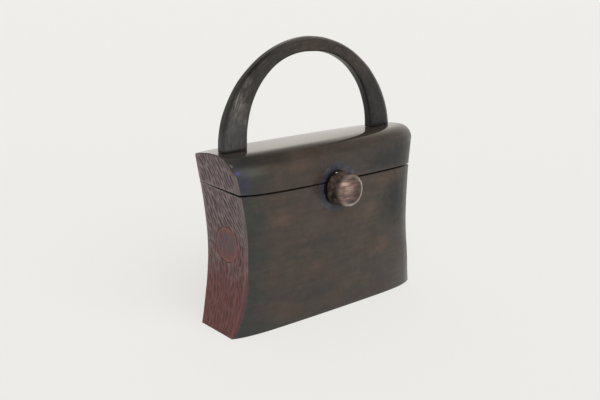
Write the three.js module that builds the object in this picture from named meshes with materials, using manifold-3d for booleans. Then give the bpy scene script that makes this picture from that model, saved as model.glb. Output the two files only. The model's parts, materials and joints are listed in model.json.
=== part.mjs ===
// A small wooden handbag: a hollow box with a hinged lid, an arched handle standing on the lid
// and a turned knob at the front. Millimetres, +Z up, front towards -Y, origin at the middle of the base.
import * as THREE from "three";
import { mergeVertices } from "three/addons/utils/BufferGeometryUtils.js";
import Module from "manifold-3d";

// Front view: the ends flare from a narrow waist to the floor and to the top
const baseHalfWidth = 100;
const waistHalfWidth = 87.2;
const waistHeight = 68;
const shoulderHalfWidth = 96;
const shoulderHeight = 140;

// Side view at mid length, a row for each height: how far the front and the back stand from y = 0,
// how much the front bows back towards the ends, and how much further it turns in at its two corners
const sideRows = [
  { height: 0, front: 29.4, frontBow: 1.5, leftCorner: 5.0, rightCorner: 7.0, back: 27.4 },
  { height: 30, front: 31.5, frontBow: 1.7, leftCorner: 3.2, rightCorner: 3.1, back: 29.4 },
  { height: 60, front: 31.3, frontBow: 2.2, leftCorner: 3.4, rightCorner: 2.2, back: 30.6 },
  { height: 90, front: 31.5, frontBow: 3.0, leftCorner: 3.8, rightCorner: 2.4, back: 32.4 },
  { height: 120, front: 31.8, frontBow: 4.2, leftCorner: 6.2, rightCorner: 3.4, back: 34.7 },
  { height: 136, front: 31.8, frontBow: 4.2, leftCorner: 6.2, rightCorner: 4.6, back: 34.8 },
];
const backBow = 1.5;
const backCorner = 5.5;
const cornerPower = 8; // the corners turn in over the last stretch

// Lid top, a row for each end: it rises to the right, where the round-over along its front is tighter,
// and its dome falls a little to the back edge
const topRows = [
  { x: -96, crown: 141.0, backEdge: 138.5, roundHeight: 21.7, roundDepth: 21.5, roundPower: 2.45 },
  { x: 96, crown: 145.0, backEdge: 140.2, roundHeight: 10, roundDepth: 16.5, roundPower: 2 },
];
const topBackRound = 4.5;

// Seam: the body's rim and the lid's underside part at the hinge and stand a little open at the front
const rimTilt = 2.7;
const lidTilt = 1.7;
const seamGap = 0.3;
const fit = 0.3; // clearance between pieces that touch

// Inside
const cavityHalfLength = 76;
const cavityFront = 22.5;
const cavityBack = 22;
const cavityCorner = 5;
const floorThickness = 8;
const lidCavityTop = 127;

// Handle: an arch between two superellipses, on two legs, a little fuller at its left shoulder
const handleY = 2.8;
const handleDepth = 10;
const handleSpring = 142.9;
const handleLean = 2.7;
const handleOuter = { halfWidth: 89.6, rise: 81.7, power: 1.88 };
const handleInner = { halfWidth: 66.3, rise: 69.9, power: 2.17 };
const handleOuterChamfer = 1.62; // 2 leaves the section square, 1 makes it a diamond
const handleInnerChamfer = 1.75;
const handleCrispness = 16; // how sharp the chamfers' edges are
const handleFootDepth = 8;
const tenonRadius = 4;
const tenonDepth = 10;

// Knob, its post and the shallow dish turned round it
const knobHeight = 106.9;
const knobRadius = 13.25;
const knobBackRadius = 14.4; // it tapers to the front
const knobFaceY = -48.4;
const knobLength = 14.9;
const knobFaceRound = 2.6;
const knobBackRound = 1.8;
const knobPostRadius = 2.4;
const knobPostEndY = -23;
const dishRadius = 20.5;
const dishDepth = 1.6;
const dishHeight = 107.5;

// End plugs, let into the waist
const plugRadius = 14.2;
const plugDepth = 6;
const plugY = 0.4;
const plugHeight = 68.4;

// Butt hinges at the back
const hingeX = 48;
const hingeY = 35.4;
const hingeZ = 114.6;
const hingeLength = 22;
const knuckleRadius = 2.3;
const knuckleRoom = 0.5;
const hingePinRadius = 0.9;
const leafDepth = 9;
const leafThickness = 1.4;

// Fineness of the curved faces
const lengthSteps = 36;
const heightSteps = 9;
const roundSteps = 8;
const edgeSteps = 4;
const dishSteps = 6;
const endArcSteps = 18;
const handleSteps = 44;
const handleSides = 20;
const turnedSides = 32;
const rodSides = 20;

const overrun = 3; // how far a cutting form reaches past the face that it cuts

const wasm = await Module();
wasm.setup();

function solidOf(geometry) {
  const bare = geometry.clone();
  bare.deleteAttribute("normal");
  bare.deleteAttribute("uv");
  const merged = mergeVertices(bare, 1e-4);
  return new wasm.Manifold(
    new wasm.Mesh({
      numProp: 3,
      vertProperties: new Float32Array(merged.attributes.position.array),
      triVerts: new Uint32Array(merged.index.array),
    }),
  );
}

function geometryOf(solid) {
  const mesh = solid.getMesh();
  const geometry = new THREE.BufferGeometry();
  geometry.setAttribute("position", new THREE.BufferAttribute(mesh.vertProperties, 3));
  geometry.setIndex(new THREE.BufferAttribute(mesh.triVerts, 1));
  geometry.computeVertexNormals();
  return geometry;
}

// A closed skin through rings of equal count, with a fan over the first and the last ring
function loft(rings) {
  const count = rings[0].length;
  const vertices = rings.flat();
  const middleOf = (ring) => ring.reduce((sum, p) => sum.add(p), new THREE.Vector3()).divideScalar(count);
  const first = vertices.push(middleOf(rings[0])) - 1;
  const last = vertices.push(middleOf(rings.at(-1))) - 1;
  const top = (rings.length - 1) * count;
  const faces = [];
  for (let k = 0; k < count; k++) {
    const next = (k + 1) % count;
    faces.push(first, next, k, last, top + k, top + next);
    for (let low = 0; low < top; low += count) {
      const high = low + count;
      faces.push(low + k, low + next, high + next, low + k, high + next, high + k);
    }
  }
  return new THREE.BufferGeometry().setFromPoints(vertices).setIndex(faces);
}

// Side profile at any height, smooth through the rows
const sideColumns = Object.keys(sideRows[0]).filter((name) => name !== "height");
const sideCurve = new THREE.CubicInterpolant(
  sideRows.map((row) => row.height),
  sideRows.flatMap((row) => sideColumns.map((name) => row[name])),
  sideColumns.length,
);
function sideAt(height) {
  const values = sideCurve.evaluate(THREE.MathUtils.clamp(height, 0, sideRows.at(-1).height));
  return Object.fromEntries(sideColumns.map((name, k) => [name, values[k]]));
}

// The concave ends are two arcs that meet at the waist
const arcRadius = (rise, flare) => (rise ** 2 + flare ** 2) / (2 * flare);
const lowRadius = arcRadius(waistHeight, baseHalfWidth - waistHalfWidth);
const highRadius = arcRadius(shoulderHeight - waistHeight, shoulderHalfWidth - waistHalfWidth);
function endAt(z) {
  const radius = z < waistHeight ? lowRadius : highRadius;
  return waistHalfWidth + radius - Math.sqrt(radius ** 2 - (z - waistHeight) ** 2);
}

// How far a face has turned in at x, from its bow and from its corner at the end
function turnIn(x, bow, corner, end) {
  return bow * (x / baseHalfWidth) ** 2 + corner * (Math.abs(x) / end) ** cornerPower;
}

function frontAt(x, z) {
  const { front, frontBow, leftCorner, rightCorner } = sideAt(z);
  return turnIn(x, frontBow, x < 0 ? leftCorner : rightCorner, endAt(z)) - front;
}

function backAt(x, z) {
  return sideAt(z).back - turnIn(x, backBow, backCorner, baseHalfWidth);
}

// The lid top's values at x, on the straight line between its two rows
function topAt(x) {
  const [left, right] = topRows;
  const share = (x - left.x) / (right.x - left.x);
  const between = (name) => [name, THREE.MathUtils.lerp(left[name], right[name], share)];
  return Object.fromEntries(Object.keys(left).map(between));
}

// One cross section of the whole form: up the back, over the dome and the round-over, down the front
function sectionAt(x) {
  const top = topAt(x);
  const backTop = top.backEdge - topBackRound;
  const frontTop = top.crown - top.roundHeight;
  const domeBack = backAt(x, backTop) - topBackRound;
  const domeFront = frontAt(x, frontTop) + top.roundDepth;
  const points = [];
  const run = (steps, first, place) => {
    for (let k = first; k <= steps; k++) {
      const [y, z] = place(k / steps);
      points.push(new THREE.Vector3(x, y, z));
    }
  };
  run(heightSteps, 0, (share) => [backAt(x, backTop * share), backTop * share]);
  run(edgeSteps, 1, (share) => {
    const angle = (share * Math.PI) / 2;
    return [domeBack + topBackRound * Math.cos(angle), backTop + topBackRound * Math.sin(angle)];
  });
  run(roundSteps, 1, (share) => [
    THREE.MathUtils.lerp(domeBack, domeFront, share),
    THREE.MathUtils.lerp(top.crown, top.backEdge, (1 - share) ** 2),
  ]);
  run(roundSteps, 1, (share) => {
    const angle = (share * Math.PI) / 2;
    const [out, up] = [Math.sin(angle), Math.cos(angle)].map((x) => Math.max(x, 0) ** (2 / top.roundPower));
    return [domeFront - top.roundDepth * out, frontTop + top.roundHeight * up];
  });
  run(heightSteps, 1, (share) => [frontAt(x, frontTop * (1 - share)), frontTop * (1 - share)]);
  return points;
}

// The form before the ends are cut, through sections that stand closer towards the ends
function longForm() {
  const reach = baseHalfWidth + overrun;
  const sections = Array.from({ length: lengthSteps + 1 }, (_, k) => {
    const turn = Math.PI * (k / lengthSteps - 0.5);
    return sectionAt(reach * Math.sin(turn));
  });
  return solidOf(loft(sections));
}

// The front view between its two concave ends, drawn out along Y
function endForm() {
  const highest = topRows.at(-1).crown + overrun;
  const lowTurn = Math.asin((waistHeight + overrun) / lowRadius);
  const highTurn = Math.asin((highest - waistHeight) / highRadius);
  const outline = new THREE.Shape();
  const waist = waistHalfWidth;
  outline.absarc(waist + lowRadius, waistHeight, lowRadius, Math.PI + lowTurn, Math.PI, true);
  outline.absarc(waist + highRadius, waistHeight, highRadius, Math.PI, Math.PI - highTurn, true);
  outline.absarc(-waist - highRadius, waistHeight, highRadius, highTurn, 0, true);
  outline.absarc(-waist - lowRadius, waistHeight, lowRadius, 0, -lowTurn, true);
  const depth = baseHalfWidth;
  const form = new THREE.ExtrudeGeometry(outline, { depth, curveSegments: endArcSteps, bevelEnabled: false });
  form.rotateX(Math.PI / 2);
  return solidOf(form.translate(0, depth / 2, 0));
}

// Everything above or below the seam's plane, which turns about the hinge axis
function halfSpace(tilt, lift, side) {
  const size = 4 * baseHalfWidth;
  const box = new THREE.BoxGeometry(size, size, size);
  box.translate(0, 0, (side * size) / 2 + lift);
  box.rotateX(THREE.MathUtils.degToRad(tilt));
  box.translate(0, hingeY, hingeZ);
  return solidOf(box);
}

function cavity(bottom, top) {
  const plan = new THREE.Shape();
  const right = cavityHalfLength - cavityCorner;
  const front = -cavityFront + cavityCorner;
  const back = cavityBack - cavityCorner;
  plan.absarc(right, front, cavityCorner, -Math.PI / 2, 0, false);
  plan.absarc(right, back, cavityCorner, 0, Math.PI / 2, false);
  plan.absarc(-right, back, cavityCorner, Math.PI / 2, Math.PI, false);
  plan.absarc(-right, front, cavityCorner, Math.PI, 1.5 * Math.PI, false);
  const drawn = { depth: top - bottom, curveSegments: edgeSteps, bevelEnabled: false };
  return solidOf(new THREE.ExtrudeGeometry(plan, drawn).translate(0, 0, bottom));
}

// A turned solid about a line along -Y through (0, z): profile rows are radius and distance to the front
function turned(profile, z) {
  const points = profile.map(([radius, out]) => new THREE.Vector2(radius, out));
  const form = new THREE.LatheGeometry(points, turnedSides);
  form.rotateX(Math.PI);
  return solidOf(form.translate(0, 0, z));
}

function quarterRound(radius, out, round, from) {
  return Array.from({ length: edgeSteps + 1 }, (_, k) => {
    const angle = from + (k * Math.PI) / 2 / edgeSteps;
    return [radius - round + round * Math.cos(angle), out + round * Math.sin(angle)];
  });
}

function knobSolid() {
  const face = -knobFaceY;
  const back = face - knobLength;
  const head = [
    [knobPostRadius, back],
    ...quarterRound(knobBackRadius, back + knobBackRound, knobBackRound, -Math.PI / 2),
    ...quarterRound(knobRadius, face - knobFaceRound, knobFaceRound, 0),
    [0, face],
  ];
  return turned([[0, -knobPostEndY], [knobPostRadius, -knobPostEndY], ...head], knobHeight);
}

function knobHole() {
  const through = -knobPostEndY - overrun;
  const radius = knobPostRadius + fit;
  const out = sideAt(knobHeight).front + overrun;
  return turned([[0, through], [radius, through], [radius, out], [0, out]], knobHeight);
}

// The dish is a cap of a large ball, sunk into the front
function dishCutter() {
  const rim = sideAt(dishHeight).front;
  const bowl = Array.from({ length: dishSteps + 1 }, (_, k) => {
    const share = k / dishSteps;
    return [dishRadius * share, rim - dishDepth * (1 - share ** 2)];
  });
  const out = rim + overrun;
  return turned([...bowl, [dishRadius, out], [0, out]], dishHeight);
}

function plugCylinder(side, grow) {
  const length = plugDepth + overrun + grow;
  const form = new THREE.CylinderGeometry(plugRadius + grow, plugRadius + grow, length, turnedSides);
  form.rotateZ(Math.PI / 2);
  form.translate(side * (waistHalfWidth - plugDepth - grow + length / 2), plugY, plugHeight);
  return solidOf(form);
}

// One point of a superellipse in the XZ plane, from the right foot at 0 to the left foot at PI
function archPoint({ halfWidth, rise, power }, angle) {
  const c = Math.cos(angle);
  const s = Math.sin(angle);
  const x = Math.sign(c) * halfWidth * Math.abs(c) ** (2 / power);
  return new THREE.Vector3(x, handleY, handleSpring - handleLean * c + rise * Math.max(s, 0) ** (2 / power));
}

// A chamfered section: how far its skin is from its middle, with the arch's outside at angle 0
function sectionReach(angle) {
  const across = Math.abs(Math.cos(angle));
  const deep = Math.abs(Math.sin(angle));
  const chamfer = Math.cos(angle) > 0 ? handleOuterChamfer : handleInnerChamfer;
  const sum = [across, deep, (across + deep) / chamfer].reduce((total, x) => total + x ** handleCrispness, 0);
  return sum ** (-1 / handleCrispness);
}

function handleRing(outer, inner) {
  const middle = outer.clone().lerp(inner, 0.5);
  const across = outer.clone().sub(inner).multiplyScalar(0.5);
  const along = new THREE.Vector3(0, handleDepth / 2, 0);
  return Array.from({ length: handleSides }, (_, k) => {
    const angle = (2 * Math.PI * (k + 0.5)) / handleSides;
    return middle
      .clone()
      .addScaledVector(across, sectionReach(angle) * Math.cos(angle))
      .addScaledVector(along, sectionReach(angle) * Math.sin(angle));
  });
}

function handleArch() {
  const down = new THREE.Vector3(0, 0, -handleFootDepth);
  const rings = [];
  for (let k = 0; k <= handleSteps; k++) {
    const angle = (Math.PI * k) / handleSteps;
    rings.push(handleRing(archPoint(handleOuter, angle), archPoint(handleInner, angle)));
  }
  const foot = (ring) => ring.map((point) => point.clone().add(down));
  return solidOf(loft([foot(rings[0]), ...rings, foot(rings.at(-1))]));
}

function tenon(side, grow) {
  const reach = handleSpring + overrun;
  const legX = (handleOuter.halfWidth + handleInner.halfWidth) / 2;
  const bottom = topAt(side * legX).crown - tenonDepth - grow;
  const radius = tenonRadius + grow;
  const form = new THREE.CylinderGeometry(radius, radius, reach - bottom, rodSides);
  form.rotateX(Math.PI / 2);
  return solidOf(form.translate(side * legX, handleY, (reach + bottom) / 2));
}

// Hinge pieces, drawn about their axis at the origin with the leaf towards -Y
function rod(radius, length, x) {
  const form = new THREE.CylinderGeometry(radius, radius, length, rodSides);
  return solidOf(form.rotateZ(Math.PI / 2).translate(x, 0, 0));
}

const knuckleLength = (hingeLength - 2 * fit) / 3;
const outerKnuckles = [-1, 1].map((side) => side * (knuckleLength + fit));

function leafPlate(face, grow) {
  const depth = leafDepth + grow;
  const plate = new THREE.BoxGeometry(hingeLength + 2 * grow, depth, leafThickness + 2 * grow);
  return solidOf(plate.translate(0, -depth / 2, (face * (leafThickness + seamGap)) / 2));
}

function leaf(face, ownKnuckles, otherKnuckles) {
  let solid = leafPlate(face, 0);
  otherKnuckles.forEach((x) => {
    solid = solid.subtract(rod(knuckleRadius + fit, knuckleLength + 2 * fit, x));
  });
  ownKnuckles.forEach((x) => {
    solid = solid.add(rod(knuckleRadius, knuckleLength, x));
  });
  return solid.subtract(rod(hingePinRadius + fit, hingeLength * 2, 0));
}

// The seat of one leaf and of the knuckles, cut into the wood
function hingeSeat(side, face, tilt) {
  const seat = leafPlate(face, fit).add(rod(knuckleRadius + knuckleRoom, hingeLength + 2 * fit, 0));
  const form = geometryOf(seat).rotateX(THREE.MathUtils.degToRad(tilt));
  return solidOf(form.translate(side * hingeX, hingeY, hingeZ));
}

function finish(colour, roughness, metalness = 0) {
  return new THREE.MeshStandardMaterial({ color: colour, roughness, metalness });
}

function piece(name, solid, material) {
  const mesh = new THREE.Mesh(geometryOf(solid), material);
  mesh.name = name;
  return mesh;
}

const handbag = new THREE.Group();
const lidGroup = new THREE.Group();
handbag.add(lidGroup);
const sides = { left: -1, right: 1 };

const wholeForm = longForm().intersect(endForm());
let body = wholeForm.subtract(halfSpace(rimTilt, -seamGap / 2, 1));
let lid = wholeForm.subtract(halfSpace(lidTilt, seamGap / 2, -1));
body = body.subtract(cavity(floorThickness, shoulderHeight)).subtract(dishCutter()).subtract(knobHole());
lid = lid.subtract(cavity(floorThickness, lidCavityTop)).subtract(dishCutter());

const raised = geometryOf(wholeForm).translate(0, 0, fit);
let handle = handleArch().subtract(solidOf(raised));

for (const [name, side] of Object.entries(sides)) {
  body = body.subtract(plugCylinder(side, fit)).subtract(hingeSeat(side, -1, rimTilt));
  lid = lid.subtract(tenon(side, fit)).subtract(hingeSeat(side, 1, lidTilt));
  handle = handle.add(tenon(side, 0));

  const plug = plugCylinder(side, 0).intersect(endForm());
  handbag.add(piece(`end_plug_${name}`, plug, finish("#5a3434", 0.6)));

  const bodyLeaf = piece(`hinge_${name}_body_leaf`, leaf(-1, outerKnuckles, [0]), finish("#8c7648", 0.35, 1));
  const lidLeaf = piece(`hinge_${name}_lid_leaf`, leaf(1, [0], outerKnuckles), finish("#8c7648", 0.35, 1));
  const pin = piece(`hinge_${name}_pin`, rod(hingePinRadius, hingeLength, 0), finish("#a08a58", 0.3, 1));
  bodyLeaf.rotation.x = THREE.MathUtils.degToRad(rimTilt);
  lidLeaf.rotation.x = THREE.MathUtils.degToRad(lidTilt);
  const bodyHinge = new THREE.Group();
  const lidHinge = new THREE.Group();
  bodyHinge.position.set(side * hingeX, hingeY, hingeZ);
  lidHinge.position.copy(bodyHinge.position);
  bodyHinge.add(bodyLeaf, pin);
  lidHinge.add(lidLeaf);
  handbag.add(bodyHinge);
  lidGroup.add(lidHinge);
}

handbag.add(piece("body_box", body, finish("#3d3733", 0.45)));
handbag.add(piece("knob", knobSolid(), finish("#6b5048", 0.5)));
lidGroup.add(piece("lid", lid, finish("#3b3633", 0.4)));
lidGroup.add(piece("handle", handle, finish("#34312f", 0.45)));

export default handbag;
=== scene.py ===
# Wooden handbag: carved ends, a lid hinged at the back, an arched handle and a turned knob
import json
import math

import bmesh
import bpy
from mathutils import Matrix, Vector, noise

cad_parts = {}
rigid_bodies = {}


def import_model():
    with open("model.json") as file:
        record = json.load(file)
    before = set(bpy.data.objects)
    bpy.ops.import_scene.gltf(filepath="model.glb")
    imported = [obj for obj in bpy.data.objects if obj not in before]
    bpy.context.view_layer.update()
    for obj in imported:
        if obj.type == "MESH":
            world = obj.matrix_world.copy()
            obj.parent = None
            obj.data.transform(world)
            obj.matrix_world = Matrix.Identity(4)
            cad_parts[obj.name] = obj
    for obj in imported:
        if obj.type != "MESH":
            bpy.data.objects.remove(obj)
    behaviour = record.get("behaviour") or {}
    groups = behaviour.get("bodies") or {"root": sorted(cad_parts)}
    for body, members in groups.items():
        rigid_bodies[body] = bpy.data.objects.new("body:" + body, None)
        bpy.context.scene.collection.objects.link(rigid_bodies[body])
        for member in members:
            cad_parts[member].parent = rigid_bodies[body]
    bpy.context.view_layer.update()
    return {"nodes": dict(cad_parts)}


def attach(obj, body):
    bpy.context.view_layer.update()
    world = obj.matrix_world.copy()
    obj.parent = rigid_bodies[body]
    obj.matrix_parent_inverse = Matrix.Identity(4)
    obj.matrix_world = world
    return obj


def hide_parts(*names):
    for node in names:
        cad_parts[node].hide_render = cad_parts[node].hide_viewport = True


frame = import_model()
mm = 0.001  # sizes below are in millimetres, Blender works in metres
noise.seed_set(12)  # the handle and the knob get the same slight unevenness on every run
print("frame loaded,", len(frame["nodes"]), "solids")


# Small helpers for selecting, shaping and cutting

def clearSelection():
    if bpy.context.object and bpy.context.object.mode != "OBJECT":
        bpy.ops.object.mode_set(mode="OBJECT")
    bpy.ops.object.select_all(action="DESELECT")


def only(piece):
    clearSelection()
    bpy.context.view_layer.objects.active = piece
    piece.select_set(True)


def newest(name):
    piece = bpy.context.object
    piece.name = name
    piece.data.name = name
    bpy.ops.object.transform_apply(location=True, rotation=True, scale=True)
    return piece


def copyOf(piece, name):
    only(piece)
    bpy.ops.object.duplicate()
    return newest(name)


def discard(*pieces):
    for piece in pieces:
        bpy.data.objects.remove(piece, do_unlink=True)


def applyModifier(piece, kind, **values):
    only(piece)
    modifier = piece.modifiers.new(kind.title(), kind)
    for key, value in values.items():
        setattr(modifier, key, value)
    bpy.ops.object.modifier_apply(modifier=modifier.name)


def combine(piece, others, operation):
    for other in others:
        applyModifier(piece, "BOOLEAN", object=other, operation=operation, solver="MANIFOLD",
                      material_mode="TRANSFER")
        discard(other)


def cutAway(piece, *cutters):
    combine(piece, cutters, "DIFFERENCE")


def fuse(piece, *others):
    combine(piece, others, "UNION")


def paint(piece, material):
    piece.data.materials.clear()
    piece.data.materials.append(material)


def placeVertices(piece, place):
    for vertex in piece.data.vertices:
        vertex.co = Vector(place(vertex.co / mm)) * mm


def closeUp(piece):
    only(piece)
    bpy.ops.object.mode_set(mode="EDIT")
    bpy.ops.mesh.select_all(action="SELECT")
    bpy.ops.mesh.remove_doubles(threshold=0.00001)
    bpy.ops.mesh.normals_make_consistent(inside=False)
    bpy.ops.object.mode_set(mode="OBJECT")


def smoothOver(piece, angle):
    only(piece)
    bpy.ops.object.shade_smooth_by_angle(angle=math.radians(angle))


def softenEdges(piece, width, segments):
    applyModifier(piece, "BEVEL", width=width * mm, segments=segments, limit_method="ANGLE",
                  angle_limit=math.radians(40))


def keepNotes(piece, notes):
    for name, values in notes.items():
        piece.data.attributes.new(name, "FLOAT", "POINT").data.foreach_set("value", values)


def bevelEdges(piece, width, segments, chosen):
    only(piece)
    bpy.ops.object.mode_set(mode="EDIT")
    bpy.ops.mesh.select_mode(type="EDGE")
    bpy.ops.mesh.select_all(action="DESELECT")
    mesh = bmesh.from_edit_mesh(piece.data)
    for edge in mesh.edges:
        ends = [vertex.co / mm for vertex in edge.verts]
        edge.select_set(chosen(*ends))
    bmesh.update_edit_mesh(piece.data)
    bpy.ops.mesh.bevel(offset=width * mm, segments=segments, affect="EDGES", clamp_overlap=True)
    bpy.ops.object.mode_set(mode="OBJECT")


# Draws a ring and extrudes it from section to section, moving each new ring into its section
def loftSections(name, sections):
    clearSelection()
    bpy.ops.mesh.primitive_circle_add(vertices=len(sections[0]), radius=1, fill_type="NGON")
    piece = newest(name)
    for vertex, point in zip(piece.data.vertices, sections[0]):
        vertex.co = Vector(point) * mm
    bpy.ops.object.mode_set(mode="EDIT")
    bpy.ops.mesh.select_mode(type="FACE")
    bpy.ops.mesh.select_all(action="SELECT")
    nearly = lambda spot: tuple(round(value, 7) for value in spot)
    for before, after in zip(sections, sections[1:]):
        bpy.ops.mesh.extrude_region_move()
        mesh = bmesh.from_edit_mesh(piece.data)
        moves = {nearly(Vector(old) * mm): Vector(new) * mm for old, new in zip(before, after)}
        for vertex in [v for v in mesh.verts if v.select]:
            vertex.co = moves[nearly(vertex.co)]
        bmesh.update_edit_mesh(piece.data)
    bpy.ops.object.mode_set(mode="OBJECT")
    closeUp(piece)
    return piece


# Turns a profile of (radius, y) rows round a line along Y at the height z
def turnProfile(name, rows, z, steps):
    clearSelection()
    bpy.ops.mesh.primitive_plane_add(size=mm)
    piece = newest(name)
    bpy.ops.object.mode_set(mode="EDIT")
    bpy.ops.mesh.select_mode(type="VERT")
    bpy.ops.mesh.select_all(action="SELECT")
    bpy.ops.mesh.merge(type="CENTER")
    spots = [Vector((radius, y, z)) * mm for radius, y in rows]
    bpy.ops.transform.translate(value=spots[0])
    for before, after in zip(spots, spots[1:]):
        bpy.ops.mesh.extrude_vertices_move(TRANSFORM_OT_translate={"value": after - before})
    bpy.ops.mesh.select_all(action="SELECT")
    bpy.ops.mesh.spin(steps=steps, angle=2 * math.pi, center=(0, 0, z * mm), axis=(0, 1, 0))
    bpy.ops.object.mode_set(mode="OBJECT")
    closeUp(piece)
    return piece


# Rows of (radius, y) along a quarter of a rounding
def quarterTurn(radius, y, soft, start, steps=6):
    rows = []
    for k in range(steps + 1):
        angle = start + k * math.pi / 2 / steps
        rows.append((radius - soft + soft * math.cos(angle), y - soft * math.sin(angle)))
    return rows


# The bag's form: each side row is a height, the top rows run from the left to the right end
bagForm = {
    "baseHalfWidth": 100.0,
    "waistHalfWidth": 87.2,
    "waistHeight": 68.0,
    "shoulderHalfWidth": 96.0,
    "shoulderHeight": 140.0,
    "heights": (0, 30, 60, 90, 120, 136),
    "front": (29.4, 31.5, 31.3, 31.5, 31.8, 31.8),
    "frontBow": (1.5, 1.7, 2.2, 3.0, 4.2, 4.2),
    "leftCorner": (5.0, 3.2, 3.4, 3.8, 6.2, 6.2),
    "rightCorner": (7.0, 3.1, 2.2, 2.4, 3.4, 4.6),
    "back": (27.4, 29.4, 30.6, 32.4, 34.7, 34.8),
    "backBow": 1.5,
    "backCorner": 5.5,
    "cornerPower": 8,
    "topEnd": 96.0,
    "crown": (141.0, 145.0),
    "backEdge": (138.5, 140.2),
    "roundHeight": (21.7, 10.0),
    "roundDepth": (21.5, 16.5),
    "roundPower": (2.45, 2.0),
    "topBackRound": 4.5,
    "topBackSteps": 6,
    "baseRound": 0.8,
    "baseSteps": 3,
    "overrun": 3.0,
    "stations": 72,
    "endTurn": 76,  # 90 would crowd the stations at the ends
    "lowSteps": 26,
    "highSteps": 7,
    "domeSteps": 24,
}
# No ring of the form lies inside frontBand or backBand, where the seam's planes pass
seam = {
    "hingeY": 35.4, "hingeZ": 114.6, "rimTilt": 2.7, "lidTilt": 1.7, "gap": 0.3, "edgeRound": 0.32,
    "frontBand": (110.2, 114.2), "backBand": (113.2, 116.0),
}


def mix(a, b, share):
    return a + (b - a) * share


def smoothStep(low, high, value):
    share = min(max((value - low) / (high - low), 0), 1)
    return share * share * (3 - 2 * share)


# A value between rows, on a curve whose slope at a row follows its two neighbours
def alongRows(places, values, place):
    place = min(max(place, places[0]), places[-1])
    last = len(places) - 1
    k = max(n for n in range(last) if places[n] <= place)

    def steep(n):
        if 0 < n < last:
            return (values[n + 1] - values[n - 1]) / (places[n + 1] - places[n - 1])
        a, b = (0, 1) if n == 0 else (last - 1, last)
        inner = 1 if n == 0 else last - 1
        return 1.5 * (values[b] - values[a]) / (places[b] - places[a]) - 0.5 * steep(inner)

    span = places[k + 1] - places[k]
    t = (place - places[k]) / span
    return ((2 * t ** 3 - 3 * t ** 2 + 1) * values[k] + (t ** 3 - 2 * t ** 2 + t) * span * steep(k)
            + (3 * t ** 2 - 2 * t ** 3) * values[k + 1] + (t ** 3 - t ** 2) * span * steep(k + 1))


def sideAt(column, z):
    return alongRows(bagForm["heights"], bagForm[column], z)


# How far out the concave end stands at a height
def endAt(z):
    waist, waistZ = bagForm["waistHalfWidth"], bagForm["waistHeight"]
    if z < waistZ:
        rise, flare = waistZ, bagForm["baseHalfWidth"] - waist
    else:
        rise, flare = bagForm["shoulderHeight"] - waistZ, bagForm["shoulderHalfWidth"] - waist
    radius = (rise ** 2 + flare ** 2) / (2 * flare)
    return waist + radius - math.sqrt(radius ** 2 - (z - waistZ) ** 2)


# How far a face has turned in at x, from its bow and from its corner at the end
def turnIn(x, bow, corner, end):
    return bow * (x / bagForm["baseHalfWidth"]) ** 2 + corner * (abs(x) / end) ** bagForm["cornerPower"]


def frontAt(x, z):
    corner = sideAt("leftCorner" if x < 0 else "rightCorner", z)
    return turnIn(x, sideAt("frontBow", z), corner, endAt(z)) - sideAt("front", z)


def backAt(x, z):
    turned = turnIn(x, bagForm["backBow"], bagForm["backCorner"], bagForm["baseHalfWidth"])
    return sideAt("back", z) - turned


def topAt(column, x):
    left, right = bagForm[column]
    return mix(left, right, (x + bagForm["topEnd"]) / (2 * bagForm["topEnd"]))


# One cross section: up the back, over the dome and the round-over, down the front
def bagSection(x):
    low = bagForm["baseRound"]
    backRound = bagForm["topBackRound"]
    crown, backEdge = topAt("crown", x), topAt("backEdge", x)
    roundHeight, roundDepth = topAt("roundHeight", x), topAt("roundDepth", x)
    backTop = backEdge - backRound
    frontTop = crown - roundHeight
    domeBack = backAt(x, backTop) - backRound
    domeFront = frontAt(x, frontTop) + roundDepth
    baseSteps, domeSteps = bagForm["baseSteps"], bagForm["domeSteps"]
    points = []

    def run(steps, first, place):
        for k in range(first, steps + 1):
            y, z = place(k / steps)
            points.append((x, y, z))

    def upright(first, last, steps, start, faceAt):
        run(steps, start, lambda s: (faceAt(x, mix(first, last, s)), mix(first, last, s)))

    quarter = lambda share: (math.cos(share * math.pi / 2), math.sin(share * math.pi / 2))
    backLow, backHigh = seam["backBand"]
    frontLow, frontHigh = seam["frontBand"]
    run(baseSteps, 0, lambda s: (backAt(x, low) - low * (1 - quarter(s)[1]), low * (1 - quarter(s)[0])))
    upright(low, backLow, bagForm["lowSteps"], 1, backAt)
    upright(backHigh, backTop, bagForm["highSteps"], 0, backAt)
    run(bagForm["topBackSteps"], 1, lambda s: (domeBack + backRound * quarter(s)[0],
                                               backTop + backRound * quarter(s)[1]))
    run(domeSteps, 1, lambda s: (mix(domeBack, domeFront, s), mix(crown, backEdge, (1 - s) ** 2)))
    full = 2 / topAt("roundPower", x)  # the round-over is fuller than an ellipse at the left
    run(domeSteps, 1, lambda s: (domeFront - roundDepth * quarter(s)[1] ** full,
                                 frontTop + roundHeight * max(quarter(s)[0], 0) ** full))
    upright(frontTop, frontHigh, bagForm["highSteps"], 1, frontAt)
    upright(frontLow, low, bagForm["lowSteps"], 0, frontAt)
    run(baseSteps, 1, lambda s: (frontAt(x, low) + low * (1 - quarter(s)[0]), low * (1 - quarter(s)[1])))
    return points


def makeBagForm():
    reach = bagForm["baseHalfWidth"] + bagForm["overrun"]
    count = bagForm["stations"]
    widest = math.radians(bagForm["endTurn"])
    shares = [math.sin(widest * (2 * k / count - 1)) / math.sin(widest) for k in range(count + 1)]
    return loftSections("bag_form", [bagSection(reach * share) for share in shares])


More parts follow.
